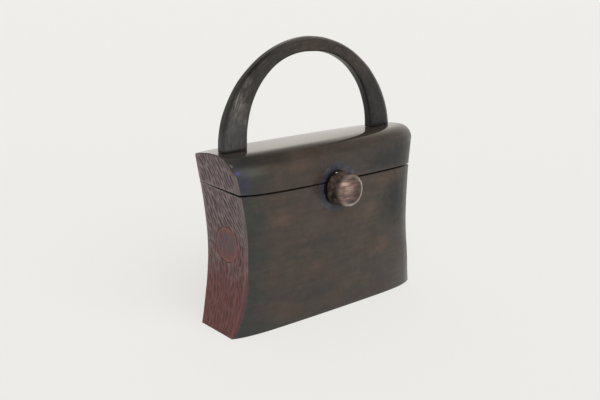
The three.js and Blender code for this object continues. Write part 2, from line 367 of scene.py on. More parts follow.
# Cuts the form short of the seam's plane, which turns about the hinge line, and rounds the rim up to it
def splitAtSeam(piece, tilt, lift, keepLower):
    turn = math.radians(tilt)
    normal = Vector((0, -math.sin(turn), math.cos(turn)))
    soft = seam["edgeRound"]
    short = -soft if keepLower else soft
    spot = Vector((0, seam["hingeY"], seam["hingeZ"])) + normal * (lift + short)
    only(piece)
    bpy.ops.object.mode_set(mode="EDIT")
    bpy.ops.mesh.select_mode(type="FACE")
    bpy.ops.mesh.select_all(action="SELECT")
    bpy.ops.mesh.bisect(plane_co=spot * mm, plane_no=normal, use_fill=True,
                        clear_outer=keepLower, clear_inner=not keepLower)
    for low, high in ((0, 30), (30, 60), (60, 90)):
        a, b = math.radians(low), math.radians(high)
        bpy.ops.mesh.inset(thickness=soft * (math.cos(a) - math.cos(b)) * mm,
                           depth=soft * (math.sin(b) - math.sin(a)) * mm)
    bpy.ops.object.mode_set(mode="OBJECT")


# Ends carved with a gouge: strokes that lean towards the front in the upper half and flow round the plug
carving = {
    "leanHeights": (0, 40, 66, 90, 104, 118, 150),
    "leanDegrees": (0, 2, 10, 26, 24, 18, 16),
    "pitch": 3.4,  # from one stroke to the next
    "depth": 0.55,
    "lowShare": 0.6,  # of the depth, below the plug
    "finePitch": 1.6,
    "fineShare": 0.2,
    "strokeLength": 12.0,
    "arrisRound": 1.1,
    "smoothNearFront": 6.0,
    "smoothNearBack": 5.0,
    "smoothNearSeam": 2.6,
    "flowRound": 0.5,
    "uneven": 0.2,  # broad unevenness left by the tool
    "crackDepth": 0.35,
    "bodyHeights": (-2, 116),
    "lidHeights": (108, 150),
    "halfSpan": 42.0,
    "rowStep": 1.0,
    "columnStep": 0.36,
    "outside": 12.0,
}
# Short cracks beside the plug: from y, to y, height, rise along the crack
cracks = ((17.5, 27.0, 65.5, 0.06), (-25.5, -17.0, 70.5, 0.16))
plug = {
    "radius": 14.2, "depth": 6.0, "y": 0.4, "z": 68.4, "gap": 0.25, "carved": 0.3, "edgeRound": 0.5,
    "stock": 12.0, "pocket": 20.0, "cutHalfWidth": 24.0, "cutHalfHeight": 17.0, "rowStep": 0.5,
}


# Sideways drift of the strokes, added up from the base
driftStep = 1.0
driftTable = [0.0]
while len(driftTable) < 170:
    lean = alongRows(carving["leanHeights"], carving["leanDegrees"], len(driftTable) * driftStep)
    driftTable.append(driftTable[-1] + math.tan(math.radians(lean)) * driftStep)


def drift(z):
    k = min(max(int(z / driftStep), 0), len(driftTable) - 2)
    return mix(driftTable[k], driftTable[k + 1], min(max(z / driftStep - k, 0), 1))


# Room to the nearest arris of an end, at its front, back or top
def arrisRoom(side, y, z):
    x = side * endAt(z)
    crown, roundHeight, roundDepth = topAt("crown", x), topAt("roundHeight", x), topAt("roundDepth", x)
    frontTop = crown - roundHeight
    front = frontAt(x, min(z, frontTop))
    if z > frontTop:
        rise = min((z - frontTop) / roundHeight, 1)
        power = topAt("roundPower", x)
        front += roundDepth * (1 - (1 - rise ** power) ** (1 / power))
    back = backAt(x, z)
    share = min(max((back - y) / (back - frontAt(x, frontTop) - roundDepth), 0), 1)
    top = mix(crown, topAt("backEdge", x), (1 - share) ** 2)
    return y - front, back - y, top - z


# How deep the gouge has gone, from 0 on a ridge to about 1 in a valley
def stroke(side, y, z):
    away = Vector((y - plug["y"], z - plug["z"]))
    bend = 1 - carving["flowRound"] * min((plug["radius"] / max(away.length, plug["radius"])) ** 2, 1)
    line = (plug["y"] - drift(plug["z"])) + (y - drift(z) - plug["y"] + drift(plug["z"])) * bend
    wobble = noise.noise((line / 10, z / 17, 3.1 * side)) * 0.8
    wobble += noise.noise((line / 4.2, z / 8, 9.7 * side)) * 0.35
    phase = line / carving["pitch"] + wobble
    column = math.floor(phase)
    scoop = 1 - (2 * (phase - column) - 1) ** 2  # wide hollows that meet in thin ridges
    start = 7 * noise.cell((column * 1.7, 2.3, side))
    start += 0.4 * noise.noise((column * 3.7, z / 14, 17.3 * side))
    run = (z / carving["strokeLength"] + start) % 1
    press = mix(0.4, 1, smoothStep(0, 0.3, run) * smoothStep(1, 0.72, run))
    thin = line / carving["finePitch"] + 0.9 * noise.noise((line / 3, z / 12, 5.3 * side))
    patchy = 0.5 + noise.noise((line / 2, z / 7, 29.1 * side))
    scratch = (0.5 + 0.5 * math.cos(2 * math.pi * thin)) * patchy
    return min(max(scoop * press + carving["fineShare"] * scratch, 0), 1.15)


def crackAt(side, y, z):
    deep = 0
    for fromY, toY, height, rise in cracks:
        room = min(y - fromY, toY - y)
        middle = height + rise * (y - fromY) + 0.6 * noise.noise((y / 3, 7.7, side))
        if side < 0 and room > 0:
            deep = max(deep, min(room / 1.5, 1) * math.exp(-((z - middle) / 0.75) ** 2))
    return deep


# Room to the middle of the seam
def seamRoom(y, z):
    tilt = math.radians((seam["rimTilt"] + seam["lidTilt"]) / 2)
    return abs(z - seam["hingeZ"] - (y - seam["hingeY"]) * math.tan(tilt))


# Strokes fade below the plug, towards the front and back arrises and at the seam
def carvedShare(y, z, front, back):
    calm = mix(0.2, 1, smoothStep(0.5, carving["smoothNearFront"], front))
    calm *= mix(0.1, 1, smoothStep(0.3, carving["smoothNearBack"], back))
    calm *= mix(0.15, 1, smoothStep(0.6, carving["smoothNearSeam"], seamRoom(y, z)))
    return calm * mix(carving["lowShare"], 1, smoothStep(40, 82, z))


# What a rounding takes off at a given room to its edge
def roundedOff(room, soft):
    if room >= soft:
        return 0
    return soft - math.sqrt(max(soft ** 2 - (soft - max(room, 0)) ** 2, 0))


def carvedDepth(side, y, z):
    front, back, top = arrisRoom(side, y, z)
    deep = carving["depth"] * carvedShare(y, z, front, back) * stroke(side, y, z)
    deep += carving["uneven"] * noise.noise((y / 11, z / 15, 23.5 * side))
    deep += carving["crackDepth"] * crackAt(side, y, z)
    return deep + roundedOff(min(front, back, top), carving["arrisRound"])


# A block with a shaped face that is taken off an end
def endCutter(name, side, span, heights, depthAt, columnStep, rowStep, material):
    lowY, highY = span
    lowZ, highZ = heights
    clearSelection()
    bpy.ops.mesh.primitive_grid_add(x_subdivisions=round((highY - lowY) / columnStep),
                                    y_subdivisions=round((highZ - lowZ) / rowStep), size=mm)
    piece = newest(name)

    def place(spot):
        z = mix(lowZ, highZ, spot.y + 0.5)
        y = mix(lowY, highY, spot.x + 0.5) + drift(z)
        return side * (endAt(z) - depthAt(side, y, z)), y, z

    placeVertices(piece, place)
    outward = side * carving["outside"] * mm
    far = side * bagForm["baseHalfWidth"] * mm + outward
    bpy.ops.object.mode_set(mode="EDIT")
    bpy.ops.mesh.select_all(action="SELECT")
    bpy.ops.mesh.extrude_region_move(TRANSFORM_OT_translate={"value": (outward, 0, 0)})
    bpy.ops.transform.resize(value=(0, 1, 1), center_override=(far, 0, 0))
    bpy.ops.mesh.select_all(action="SELECT")
    bpy.ops.mesh.normals_make_consistent(inside=False)
    bpy.ops.object.mode_set(mode="OBJECT")
    paint(piece, material)
    return piece


def carveEnds(piece, heights, material):
    coarse = 1
    span = (-carving["halfSpan"] - drift(heights[1]), carving["halfSpan"] - drift(heights[0]))
    for side in (-1, 1):
        cutter = endCutter("end_cutter", side, span, heights, carvedDepth,
                           carving["columnStep"] * coarse, carving["rowStep"] * coarse, material)
        cutAway(piece, cutter)


# Keeps on each vertex how deep its stroke is and its room to the end, the front, the arris and the seam
def noteCarving(piece):
    notes = {"groove": [], "endRoom": [], "frontRoom": [], "edgeRoom": [], "seamRoom": []}
    for vertex in piece.data.vertices:
        x, y, z = vertex.co / mm
        side = math.copysign(1, x)
        inside = endAt(min(max(z, 0), 150)) - abs(x)
        front, back, top = arrisRoom(side, y, z)
        deep = 0
        if inside < 2.5:
            deep = max(carvedShare(y, z, front, back) * stroke(side, y, z), 0.8 * crackAt(side, y, z))
        notes["groove"].append(deep)
        notes["endRoom"].append(min(max(inside, 0), 40))
        notes["frontRoom"].append(min(max(front, 0), 40))
        notes["edgeRoom"].append(min(max(min(front, back, top), 0), 40))
        notes["seamRoom"].append(min(seamRoom(y, z), 40))
    keepNotes(piece, notes)


def cylinderAlongX(name, radius, x, length, y, z, sides=72):
    clearSelection()
    bpy.ops.mesh.primitive_cylinder_add(vertices=sides, radius=radius * mm, depth=length * mm,
                                        location=(x * mm, y * mm, z * mm), rotation=(0, math.pi / 2, 0))
    return newest(name)


def cylinderAlongY(name, radius, x, y, z, length, sides=48):
    clearSelection()
    bpy.ops.mesh.primitive_cylinder_add(vertices=sides, radius=radius * mm, depth=length * mm,
                                        location=(x * mm, y * mm, z * mm), rotation=(math.pi / 2, 0, 0))
    return newest(name)


def block(name, low, high):
    clearSelection()
    middle = (Vector(low) + Vector(high)) / 2 * mm
    bpy.ops.mesh.primitive_cube_add(size=1, location=middle, scale=(Vector(high) - Vector(low)) * mm)
    return newest(name)


# The hollow inside, with rounded upright corners and a small fillet at its floor or ceiling
hollow = {
    "halfLength": 76.0, "front": 22.5, "back": 22.0, "corner": 5.0, "fillet": 1.6,
    "floor": 8.0, "lidStart": 90.0, "lidTop": 127.0,
}


def hollowCutter(lowZ, highZ, filletZ, material):
    cutter = block("hollow_cutter", (-hollow["halfLength"], -hollow["front"], lowZ),
                   (hollow["halfLength"], hollow["back"], highZ))
    atFillet = lambda spot: abs(spot.z - filletZ) < 0.01
    bevelEdges(cutter, hollow["corner"], 6, lambda a, b: abs(a.z - b.z) > 1)
    bevelEdges(cutter, hollow["fillet"], 3, lambda a, b: atFillet(a) and atFillet(b))
    paint(cutter, material)
    return cutter


knob = {
    "z": 106.9, "radius": 13.25, "backRadius": 14.4, "faceY": -48.4, "length": 14.9,
    "faceRound": 2.6, "backRound": 1.8, "crown": 0.35, "wobble": 0.22, "steps": 120,
    "facets": 13, "facetCut": 0.3, "facetShift": 0.12,
    "postRadius": 2.4, "postEnd": -23.0, "holeRadius": 2.7, "holeY": -28.0, "holeLength": 20.0,
}
dish = {"radius": 20.5, "depth": 1.6, "z": 107.5, "outside": 4.0}


def dishCutter(material):
    rim = -sideAt("front", dish["z"])
    rows = [(dish["radius"] * k / 10, rim + dish["depth"] * (1 - (k / 10) ** 2)) for k in range(11)]
    rows += [(dish["radius"], rim - dish["outside"]), (0, rim - dish["outside"])]
    cutter = turnProfile("dish_cutter", rows, dish["z"], 96)
    paint(cutter, material)
    return cutter


hinge = {
    "x": 48.0, "length": 22.0, "knuckle": 2.3, "room": 0.5, "pin": 0.9, "pinBevel": 0.3,
    "leafDepth": 9.0, "leaf": 1.4, "fit": 0.3, "bevel": 0.25,
    "screwX": 6.5, "screwY": -5.7, "screwRadius": 1.7, "screwHeight": 0.8, "screwSink": 0.3,
    "screwBevel": 0.2, "slot": 0.45, "slotReach": 3.0, "slotDepth": 0.35,
}


# Moves a piece drawn round the origin to its place on the hinge line, leaning as the seam does
def turnedToSeam(piece, side, tilt):
    turn = math.radians(tilt)

    def place(spot):
        y = spot.y * math.cos(turn) - spot.z * math.sin(turn)
        z = spot.y * math.sin(turn) + spot.z * math.cos(turn)
        return spot.x + side * hinge["x"], y + seam["hingeY"], z + seam["hingeZ"]

    placeVertices(piece, place)
    return piece


def leafBlock(name, face, grow):
    half = hinge["length"] / 2 + grow
    zs = sorted((face * (seam["gap"] / 2 - grow), face * (seam["gap"] / 2 + hinge["leaf"] + grow)))
    return block(name, (-half, -hinge["leafDepth"] - grow, zs[0]), (half, 0, zs[1]))


def hingeSeats(face, tilt, material):
    seats = []
    for side in (-1, 1):
        bed = leafBlock("hinge_bed", face, hinge["fit"])
        groove = cylinderAlongX("hinge_groove", hinge["knuckle"] + hinge["room"], 0,
                                hinge["length"] + 2 * hinge["fit"], 0, 0, 32)
        for seat in (bed, groove):
            paint(seat, material)
            seats.append(turnedToSeam(seat, side, tilt))
    return seats


# Handle: an arch between two rounded curves, standing on the lid's top with a tenon under each leg
handle = {
    "y": 2.8, "depth": 10.0, "spring": 142.9, "lean": 2.7,
    "outer": {"halfWidth": 89.6, "rise": 81.7, "power": 1.88},
    "inner": {"halfWidth": 66.3, "rise": 69.9, "power": 2.17},
    "outerChamfer": 1.62, "innerChamfer": 1.75, "crisp": 20, "foot": 8.0, "gap": 0.3, "wobble": 0.22,
    "tenonRadius": 4.0, "tenonDepth": 10.0, "tenonReach": 3.0,
    "steps": 110, "sides": 64, "grainCentre": 143.0, "grainRadius": 78.0,
}


def handleTenon(side, grow, material):
    legX = (handle["outer"]["halfWidth"] + handle["inner"]["halfWidth"]) / 2 * side
    bottom = topAt("crown", legX) - handle["tenonDepth"] - grow
    top = handle["spring"] + handle["tenonReach"]
    clearSelection()
    bpy.ops.mesh.primitive_cylinder_add(vertices=48, radius=(handle["tenonRadius"] + grow) * mm,
                                        depth=(top - bottom) * mm,
                                        location=Vector((legX, handle["y"], (top + bottom) / 2)) * mm)
    piece = newest("tenon")
    paint(piece, material)
    return piece


# Finishes

def addNode(tree, kind, settings=None, **inputs):
    made = tree.nodes.new(kind)
    for key, value in (settings or {}).items():
        setattr(made, key, value)
    for key, value in inputs.items():
        feed(tree, made.inputs[key.replace("_", " ")], value)
    return made


def feed(tree, socket, value):
    if isinstance(value, bpy.types.NodeSocket):
        tree.links.new(value, socket)
    else:
        socket.default_value = value


def mathNode(tree, operation, *values):
    made = tree.nodes.new("ShaderNodeMath")
    made.operation = operation
    for socket, value in zip(made.inputs, values):
        feed(tree, socket, value)
    return made.outputs[0]


def times(tree, *values):
    result = values[0]
    for value in values[1:]:
        result = mathNode(tree, "MULTIPLY", result, value)
    return result


def vectorNode(tree, operation, *values):
    made = addNode(tree, "ShaderNodeVectorMath", {"operation": operation})
    for socket, value in zip(made.inputs, values):
        feed(tree, socket, value)
    return made.outputs


def mixColour(tree, share, first, second, blend="MIX"):
    made = tree.nodes.new("ShaderNodeMix")
    made.data_type = "RGBA"
    made.blend_type = blend
    for number, value in ((0, share), (6, first), (7, second)):
        feed(tree, made.inputs[number], value)
    return made.outputs[2]


def shaded(tree, colour, value):
    grey = addNode(tree, "ShaderNodeCombineXYZ", X=value, Y=value, Z=value).outputs[0]
    return mixColour(tree, 1.0, colour, grey, "MULTIPLY")


def ramp(tree, value, low, high, toLow=0.0, toHigh=1.0):
    limits = {"From_Min": low, "From_Max": high, "To_Min": toLow, "To_Max": toHigh}
    made = addNode(tree, "ShaderNodeMapRange", {"interpolation_type": "SMOOTHSTEP"}, Value=value, **limits)
    return made.outputs[0]


def startGroup(name, inputs, outputs):
    tree = bpy.data.node_groups.new(name, "ShaderNodeTree")
    for label, kind, value in inputs:
        socket = tree.interface.new_socket(label, in_out="INPUT", socket_type=kind)
        socket.default_value = value
    for label, kind in outputs:
        tree.interface.new_socket(label, in_out="OUTPUT", socket_type=kind)
    return tree, tree.nodes.new("NodeGroupInput").outputs, tree.nodes.new("NodeGroupOutput").inputs


def makeGrainGroup():
    tree, given, out = startGroup(
        "wood_grain",
        [("Point", "NodeSocketVector", (0, 0, 0)), ("Stretch", "NodeSocketVector", (1, 1, 1))],
        [("Streaks", "NodeSocketFloat"), ("Pores", "NodeSocketFloat")])
    spread = vectorNode(tree, "MULTIPLY", given["Point"], given["Stretch"])[0]
    streaks = addNode(tree, "ShaderNodeTexNoise", Vector=spread, Scale=1.0, Detail=6.0,
                      Roughness=0.62, Distortion=0.35)
    pores = addNode(tree, "ShaderNodeTexNoise", Vector=spread, Scale=4.6, Detail=2.0, Roughness=0.5)
    tree.links.new(streaks.outputs["Fac"], out["Streaks"])
    tree.links.new(ramp(tree, pores.outputs["Fac"], 0.56, 0.72), out["Pores"])
    return tree


def makeWearGroup():
    tree, given, out = startGroup(
        "worn_patches",
        [("Point", "NodeSocketVector", (0, 0, 0)), ("Stretch", "NodeSocketVector", (1, 1, 1)),
         ("Start", "NodeSocketFloat", 0.5), ("Full", "NodeSocketFloat", 0.7)],
        [("Mask", "NodeSocketFloat")])
    spread = vectorNode(tree, "MULTIPLY", given["Point"], given["Stretch"])[0]
    cloud = addNode(tree, "ShaderNodeTexNoise", Vector=spread, Scale=1.0, Detail=5.0,
                    Roughness=0.58, Distortion=0.6)
    tree.links.new(ramp(tree, cloud.outputs["Fac"], given["Start"], given["Full"]), out["Mask"])
    return tree


# A soft ragged patch round a place, squeezed to an oval
def makeSpotGroup():
    tree, given, out = startGroup(
        "soft_spot",
        [("Point", "NodeSocketVector", (0, 0, 0)), ("Centre", "NodeSocketVector", (0, 0, 0)),
         ("Squeeze", "NodeSocketVector", (1, 1, 1)), ("Radius", "NodeSocketFloat", 0.01),
         ("Soft", "NodeSocketFloat", 0.004), ("Ragged", "NodeSocketFloat", 0.002)],
        [("Mask", "NodeSocketFloat"), ("Distance", "NodeSocketFloat")])
    away = vectorNode(tree, "SUBTRACT", given["Point"], given["Centre"])[0]
    squeezed = vectorNode(tree, "MULTIPLY", away, given["Squeeze"])[0]
    length = vectorNode(tree, "LENGTH", squeezed)["Value"]
    cloud = addNode(tree, "ShaderNodeTexNoise", Vector=given["Point"], Scale=190.0, Detail=3.0)
    shake = times(tree, mathNode(tree, "SUBTRACT", cloud.outputs["Fac"], 0.5), given["Ragged"])
    distance = mathNode(tree, "ADD", length, shake)
    inner = mathNode(tree, "SUBTRACT", given["Radius"], given["Soft"])
    tree.links.new(ramp(tree, distance, given["Radius"], inner), out["Mask"])
    tree.links.new(distance, out["Distance"])
    return tree


grainGroup = makeGrainGroup()
wearGroup = makeWearGroup()
spotGroup = makeSpotGroup()


def useGroup(tree, group, **inputs):
    made = tree.nodes.new("ShaderNodeGroup")
    made.node_tree = group
    for key, value in inputs.items():
        feed(tree, made.inputs[key], value)
    return made.outputs


def startMaterial(name, roughness, specular=0.5):
    material = bpy.data.materials.new(name)
    material.use_nodes = True
    tree = material.node_tree
    shader = tree.nodes["Principled BSDF"]
    shader.inputs["Roughness"].default_value = roughness
    shader.inputs["Specular IOR Level"].default_value = specular
    place = addNode(tree, "ShaderNodeTexCoord").outputs["Object"]
    return material, tree, shader, place


def bump(tree, shader, height, strength, distance):
    made = addNode(tree, "ShaderNodeBump", Height=height, Strength=strength, Distance=distance * mm)
    tree.links.new(made.outputs[0], shader.inputs["Normal"])


def rgb(red, green, blue):
    return (red, green, blue, 1.0)


def attribute(tree, name):
    return addNode(tree, "ShaderNodeAttribute", {"attribute_name": name}).outputs["Fac"]


def axesOf(tree, place):
    return addNode(tree, "ShaderNodeSeparateXYZ", Vector=place).outputs


# Lays soft patches of one tint over a colour, from rows of place, radius, squeeze and strength
def addPatches(tree, place, colour, tint, rows, ragged=0.5):
    for centre, radius, squeeze, strength in rows:
        spot = useGroup(tree, spotGroup, Point=place, Centre=Vector(centre) * mm, Squeeze=squeeze,
                        Radius=radius * mm, Soft=radius * 0.9 * mm, Ragged=radius * ragged * mm)
        colour = mixColour(tree, times(tree, spot["Mask"], strength), colour, tint)
    return colour


# Marks on the polished faces: place, radius, squeeze and strength
frontMarks = {
    "rust": (
        ((-57, -31, 90), 15, (0.8, 0.3, 1.25), 0.75),
        ((-38, -29, 131), 13, (0.6, 0.3, 1.5), 0.5),
        ((62, -31, 106), 22, (0.55, 0.3, 2.2), 0.6),
        ((54, -31, 47), 13, (0.9, 0.3, 1.2), 0.6),
        ((36, -31, 84), 11, (1.0, 0.3, 1.1), 0.4),
        ((22, -31, 80), 20, (0.6, 0.3, 1.6), 0.35),
        ((-20, -31, 84), 22, (0.6, 0.3, 1.5), 0.3),
        ((-24, -31, 44), 12, (0.8, 0.3, 1.1), 0.32),
        ((-50, -31, 13), 14, (0.7, 0.3, 1.2), 0.45),
        ((-8, -31, 12), 18, (0.7, 0.3, 1.3), 0.45),
        ((16, -31, 22), 12, (0.7, 0.3, 1.2), 0.3),
    ),
    "dark": (
        ((-18, -31, 65), 26, (0.7, 0.3, 4.2), 0.55),
        ((66, -31, 72), 20, (0.7, 0.3, 1.5), 0.4),
        ((40, -31, 100), 9, (0.7, 0.3, 1.4), 0.4),
        ((-22, -31, 27), 22, (0.6, 0.3, 1.2), 0.35),
        ((0, -25, 134), 60, (0.7, 0.5, 5.0), 0.35),
        ((64, -29, 124), 34, (0.8, 0.3, 1.5), 0.75),
        ((0, -31, 8), 60, (0.6, 0.3, 2.2), 0.4),
    ),
    "blue": (((-88, -26, 122), 14, (1.5, 0.4, 0.8), 0.36),),
    "ink": (((-91.0, -22.5, 129.4), 2.8, (1.0, 0.5, 1.3), 0.75),),
    "black": (
        ((84, -27, 125), 26, (1.0, 0.3, 1.1), 0.75),
        ((54, -29, 122), 24, (0.7, 0.3, 1.8), 0.65),
        ((73, -29, 86), 30, (1.0, 0.3, 0.9), 0.9),
    ),
    "painted_glint": (((-95.2, -16.6, 134.6), 2.8, (0.6, 0.6, 1.3), 1.0),),
    "olive_sheen": (((-82, -24, 130), 12, (0.6, 0.3, 1.8), 0.55),),
}


def makePolishedWood():
    material, tree, shader, place = startMaterial("dark_polished_wood", 0.2, 0.35)
    axes = axesOf(tree, place)
    grain = useGroup(tree, grainGroup, Point=place, Stretch=(30, 300, 300))
    rubbed = useGroup(tree, grainGroup, Point=place, Stretch=(130, 130, 90))
    cloud = useGroup(tree, wearGroup, Point=place, Stretch=(20, 34, 52), Start=0.34, Full=0.66)["Mask"]
    blotch = useGroup(tree, wearGroup, Point=place, Stretch=(90, 90, 130), Start=0.45, Full=0.7)["Mask"]
    shift = times(tree, mathNode(tree, "SUBTRACT", cloud, 0.5), 0.012)
    across = mathNode(tree, "ADD", axes["X"], shift)
    # greenish black at its ends, brown in the middle
    middle = times(tree, ramp(tree, across, -0.086, -0.058), ramp(tree, across, 0.095, 0.08))
    brown = times(tree, middle, ramp(tree, cloud, 0, 1, 0.58, 0.96))
    colour = mixColour(tree, brown, rgb(0.0255, 0.026, 0.0235), rgb(0.042, 0.0305, 0.023))
    colour = mixColour(tree, times(tree, blotch, middle, 0.35), colour, rgb(0.07, 0.043, 0.03))
    colour = addPatches(tree, place, colour, rgb(0.076, 0.0455, 0.033), frontMarks["rust"], 1.2)
    colour = addPatches(tree, place, colour, rgb(0.018, 0.0165, 0.0145), frontMarks["dark"], 0.8)
    # painted sheen on the lid's front-left round-over, where it turns to the light
    colour = addPatches(tree, place, colour, rgb(0.062, 0.061, 0.05), frontMarks["olive_sheen"])
    colour = addPatches(tree, place, colour, rgb(0.022, 0.022, 0.07), frontMarks["blue"])
    colour = addPatches(tree, place, colour, rgb(0.05, 0.05, 0.22), frontMarks["ink"], 0.9)
    colour = addPatches(tree, place, colour, rgb(0.006, 0.0054, 0.005), frontMarks["black"], 0.8)
    # painted highlight on the lid's front-left arris
    colour = addPatches(tree, place, colour, rgb(0.3, 0.3, 0.24), frontMarks["painted_glint"])
    # the flat top reaches further forward at the right, and the round-over is painted dark at the left as
    # painted shade
    depth = mathNode(tree, "ADD", axes["Y"], times(tree, axes["X"], 0.035))
    top = times(tree, ramp(tree, axes["Z"], 0.133, 0.138), ramp(tree, depth, -0.0212, -0.0115))
    over = times(tree, ramp(tree, axes["Z"], 0.131, 0.136), ramp(tree, depth, -0.0155, -0.022))
    over = times(tree, over, ramp(tree, axes["X"], -0.03, -0.06, 0.0, 0.36))
    colour = mixColour(tree, over, colour, rgb(0.005, 0.0046, 0.0044))
    colour = mixColour(tree, times(tree, top, 0.75), colour, rgb(0.028, 0.0195, 0.0145))
    # slate stain in the dish, on the front face alone, and a painted shadow round the knob's post
    facing = ramp(tree, axes["Y"], -0.0275, -0.0295)
    ring = useGroup(tree, spotGroup, Point=place, Centre=Vector((0, -31, dish["z"])) * mm,
                    Squeeze=(1, 0.3, 1), Radius=(dish["radius"] + 1.0) * mm, Soft=3.4 * mm,
                    Ragged=5.5 * mm)["Mask"]
    slate = mixColour(tree, blotch, rgb(0.034, 0.035, 0.046), rgb(0.076, 0.079, 0.098))
    colour = mixColour(tree, times(tree, ring, facing, 0.92), colour, slate)
    axis = useGroup(tree, spotGroup, Point=place, Centre=Vector((0, 0, knob["z"])) * mm, Squeeze=(1, 0, 1),
                    Ragged=0.8 * mm)["Distance"]
    knobShadow = times(tree, ramp(tree, axis, 0.0152, 0.0134), facing, 0.85)
    colour = mixColour(tree, knobShadow, colour, rgb(0.005, 0.005, 0.005))
    # the right edge has a painted sheen, with a wider, fainter painted sheen beside it
    endRoom = attribute(tree, "endRoom")
    right = ramp(tree, axes["X"], 0.05, 0.07)
    edgeSheen = times(tree, ramp(tree, endRoom, 9.5, 0.8), right)
    edgeSheen = times(tree, edgeSheen, ramp(tree, axes["Z"], 0.138, 0.1, 0.4, 1.0))
    colour = mixColour(tree, times(tree, edgeSheen, 0.72), colour, rgb(0.17, 0.163, 0.153))
    sheenBand = times(tree, ramp(tree, endRoom, 20, 3), right, 0.35)
    colour = mixColour(tree, sheenBand, colour, rgb(0.06, 0.059, 0.053))
    streak = ramp(tree, grain["Streaks"], 0.3, 0.7, 0.88, 1.1)
    brush = ramp(tree, rubbed["Streaks"], 0.3, 0.7, 0.91, 1.09)  # soft rubbing marks
    colour = shaded(tree, colour, times(tree, streak, brush))
    # red dye that has crept from the carved ends round the lower arris
    creep = times(tree, mathNode(tree, "SUBTRACT", blotch, 0.4), 1.4)
    bleed = ramp(tree, mathNode(tree, "ADD", endRoom, creep), 3.4, 0.2)
    low = ramp(tree, axes["Z"], 0.07, 0.02)
    colour = mixColour(tree, times(tree, bleed, low, 0.85), colour, rgb(0.09, 0.036, 0.036))
    tree.links.new(colour, shader.inputs["Base Color"])
    # satin all over, with wax on the top that thins out to the back and to the right
    satin = ramp(tree, grain["Streaks"], 0.3, 0.7, 0.19, 0.27)
    satin = mathNode(tree, "ADD", satin, times(tree, ring, 0.14))
    further = mathNode(tree, "ADD", depth, ramp(tree, axes["X"], -0.025, 0.025, 0.0, 0.006))
    wax = times(tree, ramp(tree, axes["Z"], 0.13, 0.135), ramp(tree, further, -0.0212, -0.0135))
    gloss = mathNode(tree, "SUBTRACT", satin, times(tree, wax, 0.15))
    tree.links.new(gloss, shader.inputs["Roughness"])
    waxed = times(tree, wax, ramp(tree, axes["Y"], -0.008, 0.028, 0.76, 0.08))
    waxed = times(tree, waxed, ramp(tree, axes["X"], -0.03, 0.045, 1.0, 0.76))
    tree.links.new(waxed, shader.inputs["Coat Weight"])
    shader.inputs["Coat Roughness"].default_value = 0.06
    bump(tree, shader, times(tree, grain["Streaks"], ramp(tree, top, 0, 1, 1.0, 0.25)), 0.1, 0.25)
    return material


def makeCarvedWood():
    material, tree, shader, place = startMaterial("carved_red_wood", 0.5, 0.3)
    axes = axesOf(tree, place)
    groove = attribute(tree, "groove")
    grain = useGroup(tree, grainGroup, Point=place, Stretch=(300, 620, 60))
    cloud = useGroup(tree, wearGroup, Point=place, Stretch=(40, 85, 45), Start=0.3, Full=0.72)["Mask"]
    shift = times(tree, mathNode(tree, "SUBTRACT", cloud, 0.5), 0.03)
    low = ramp(tree, mathNode(tree, "ADD", axes["Z"], shift), 0.096, 0.026)
    ridge = mixColour(tree, low, rgb(0.212, 0.164, 0.161), rgb(0.122, 0.044, 0.043))
    valley = mixColour(tree, low, rgb(0.084, 0.063, 0.0625), rgb(0.074, 0.027, 0.0265))
    # the strokes' valleys are painted darker than their ridges as painted shade
    colour = mixColour(tree, ramp(tree, groove, 0.0, 0.9), ridge, valley)
    plugRim = useGroup(tree, spotGroup, Point=place, Centre=Vector((0, plug["y"], plug["z"])) * mm,
                       Squeeze=(0, 1, 1), Radius=(plug["radius"] + 3.2) * mm, Soft=2.6 * mm,
                       Ragged=3.5 * mm)
    colour = mixColour(tree, times(tree, plugRim["Mask"], 0.4), colour, rgb(0.13, 0.054, 0.05))
    high = ramp(tree, axes["Z"], 0.05, 0.085)
    dull = times(tree, ramp(tree, attribute(tree, "frontRoom"), 6.5, 0.8), high, 0.6)
    colour = mixColour(tree, dull, colour, rgb(0.062, 0.056, 0.047))
    edge = ramp(tree, attribute(tree, "edgeRoom"), 1.5, 0.3)
    upperEdge = times(tree, edge, ramp(tree, axes["Z"], 0.126, 0.131), 0.8)
    colour = mixColour(tree, upperEdge, colour, rgb(0.02, 0.016, 0.015))
    colour = mixColour(tree, times(tree, edge, low, 0.6), colour, rgb(0.055, 0.022, 0.021))
    # painted shade along the seam between lid and body
    parting = ramp(tree, attribute(tree, "seamRoom"), 1.3, 0.7)  # dark at the seam, less so at the back
    parting = times(tree, parting, ramp(tree, axes["Y"], 0.03, -0.012, 0.1, 0.9))
    colour = mixColour(tree, parting, colour, rgb(0.008, 0.006, 0.006))
    colour = shaded(tree, colour, ramp(tree, grain["Streaks"], 0.3, 0.7, 0.8, 1.2))
    tree.links.new(colour, shader.inputs["Base Color"])
    tree.links.new(ramp(tree, groove, 0, 0.9, 0.42, 0.68), shader.inputs["Roughness"])
    bump(tree, shader, grain["Streaks"], 0.25, 0.3)
    return material


def makeInsideWood():
    material, tree, shader, place = startMaterial("plain_inside_wood", 0.6)
    grain = useGroup(tree, grainGroup, Point=place, Stretch=(26, 260, 260))
    cloud = useGroup(tree, wearGroup, Point=place, Stretch=(30, 60, 60), Start=0.35, Full=0.7)["Mask"]
    colour = mixColour(tree, grain["Streaks"], rgb(0.045, 0.029, 0.02), rgb(0.15, 0.095, 0.062))
    colour = mixColour(tree, times(tree, cloud, 0.35), colour, rgb(0.06, 0.038, 0.026))
    colour = mixColour(tree, times(tree, grain["Pores"], 0.6), colour, rgb(0.02, 0.013, 0.009))
    tree.links.new(colour, shader.inputs["Base Color"])
    bump(tree, shader, grain["Streaks"], 0.2, 0.3)
    return material


